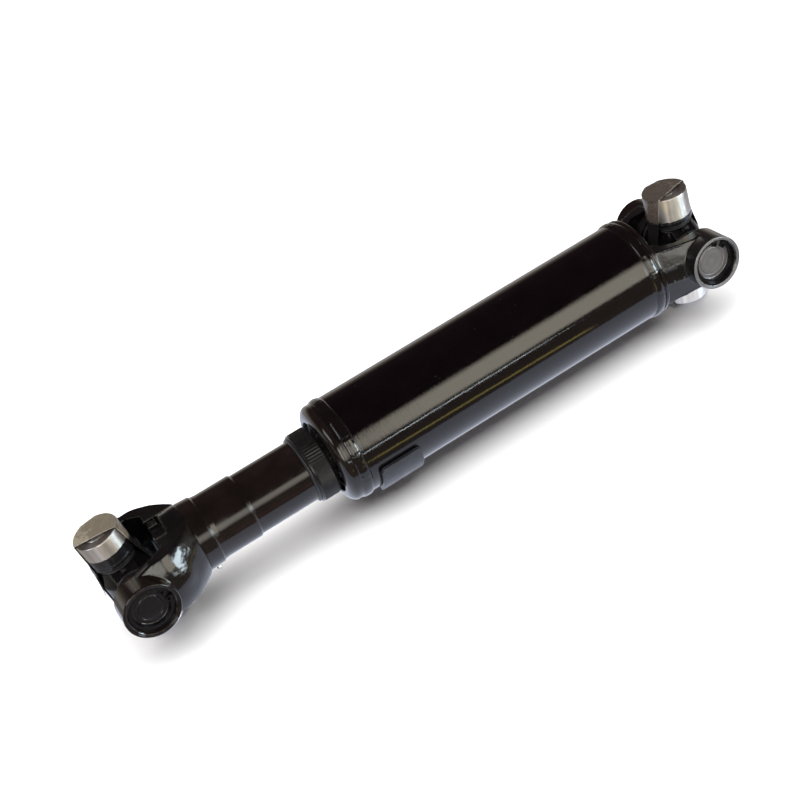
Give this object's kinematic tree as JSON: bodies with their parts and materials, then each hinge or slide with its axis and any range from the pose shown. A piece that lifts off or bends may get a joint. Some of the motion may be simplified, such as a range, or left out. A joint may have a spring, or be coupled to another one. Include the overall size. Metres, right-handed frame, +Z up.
{
  "type": "universal joint shaft",
  "caption": "Sliding universal joint shaft: splined slip yoke, balanced tube and tube yoke, with a needle-bearing cross swinging at each end.",
  "frame": {"origin": "the middle of the whole object's box, on the shaft's axis", "axes": "+X along the shaft from the slip yoke to the tube yoke, Y along the ear caps with the shown bosses at -Y, +Z up along the bare caps"},
  "size_m": [0.4277, 0.0856, 0.0798],
  "materials": {
    "gloss_black_paint": "gloss black enamel over forged, drawn and welded steel",
    "joint_steel": "dark machined and partly painted steel",
    "bright_steel": "bright ground steel",
    "spring_steel": "dark blued spring steel",
    "plated_steel": "zinc plated steel",
    "rubber": "moulded black rubber",
    "tape_plastic": "thin beige-grey plastic tape",
    "satin_plastic": "satin dark grey",
    "felt": "oiled dark felt"
  },
  "bodies": {
    "tube_assembly": {"tube": "gloss_black_paint", "front_weld_bead": "gloss_black_paint", "rear_weld_bead": "gloss_black_paint", "balance_weight": "gloss_black_paint", "splined_stub": "gloss_black_paint", "tube_yoke": "gloss_black_paint", "rear_ear_cap_near": "joint_steel", "rear_ear_cap_far": "joint_steel", "rear_snap_ring_near": "spring_steel", "rear_snap_ring_far": "spring_steel"},
    "slip_yoke_assembly": {"slip_yoke": "gloss_black_paint", "slip_yoke_plug": "gloss_black_paint", "slip_grease_fitting": "plated_steel", "dust_cap": "satin_plastic", "dust_seal": "felt", "front_ear_cap_near": "joint_steel", "front_ear_cap_far": "joint_steel", "front_snap_ring_near": "spring_steel", "front_snap_ring_far": "spring_steel"},
    "front_cross_assembly": {"front_cross": "joint_steel", "front_cross_grease_fitting": "plated_steel", "front_shipping_tape": "tape_plastic", "front_seal_top": "rubber", "front_seal_near": "rubber", "front_seal_bottom": "rubber", "front_seal_far": "rubber", "front_needles_top": "bright_steel", "front_needles_near": "bright_steel", "front_needles_bottom": "bright_steel", "front_needles_far": "bright_steel"},
    "rear_cross_assembly": {"rear_cross": "joint_steel", "rear_cross_grease_fitting": "plated_steel", "rear_shipping_tape": "tape_plastic", "rear_seal_top": "rubber", "rear_seal_near": "rubber", "rear_seal_bottom": "rubber", "rear_seal_far": "rubber", "rear_needles_top": "bright_steel", "rear_needles_near": "bright_steel", "rear_needles_bottom": "bright_steel", "rear_needles_far": "bright_steel"},
    "front_bare_cap_top_body": {"front_bare_cap_top": "bright_steel"},
    "front_bare_cap_bottom_body": {"front_bare_cap_bottom": "bright_steel"},
    "rear_bare_cap_top_body": {"rear_bare_cap_top": "bright_steel"},
    "rear_bare_cap_bottom_body": {"rear_bare_cap_bottom": "bright_steel"}
  },
  "joints": [
    {"name": "spline_slide", "type": "slide", "parent": "tube_assembly", "child": "slip_yoke_assembly", "axis": [-1, 0, 0], "range_m": [-0.004, 0.05]},
    {"name": "front_cross_swing", "type": "hinge", "parent": "slip_yoke_assembly", "child": "front_cross_assembly", "pos_m": [-0.19473, 0, 0], "axis": [0, 1, 0], "range_deg": [-16.2, 29.8]},
    {"name": "front_bare_cap_top_spin", "type": "hinge", "parent": "front_cross_assembly", "child": "front_bare_cap_top_body", "pos_m": [-0.19473, 0, 0], "axis": [-0.1184, 0, 0.993], "continuous": true},
    {"name": "front_bare_cap_bottom_spin", "type": "hinge", "parent": "front_cross_assembly", "child": "front_bare_cap_bottom_body", "pos_m": [-0.19473, 0, 0], "axis": [-0.1184, 0, 0.993], "continuous": true},
    {"name": "rear_cross_swing", "type": "hinge", "parent": "tube_assembly", "child": "rear_cross_assembly", "pos_m": [0.19717, 0, 0], "axis": [0, 1, 0], "range_deg": [-26, 20]},
    {"name": "rear_bare_cap_top_spin", "type": "hinge", "parent": "rear_cross_assembly", "child": "rear_bare_cap_top_body", "pos_m": [0.19717, 0, 0], "axis": [0.0523, 0, 0.9986], "continuous": true},
    {"name": "rear_bare_cap_bottom_spin", "type": "hinge", "parent": "rear_cross_assembly", "child": "rear_bare_cap_bottom_body", "pos_m": [0.19717, 0, 0], "axis": [0.0523, 0, 0.9986], "continuous": true}
  ]
}
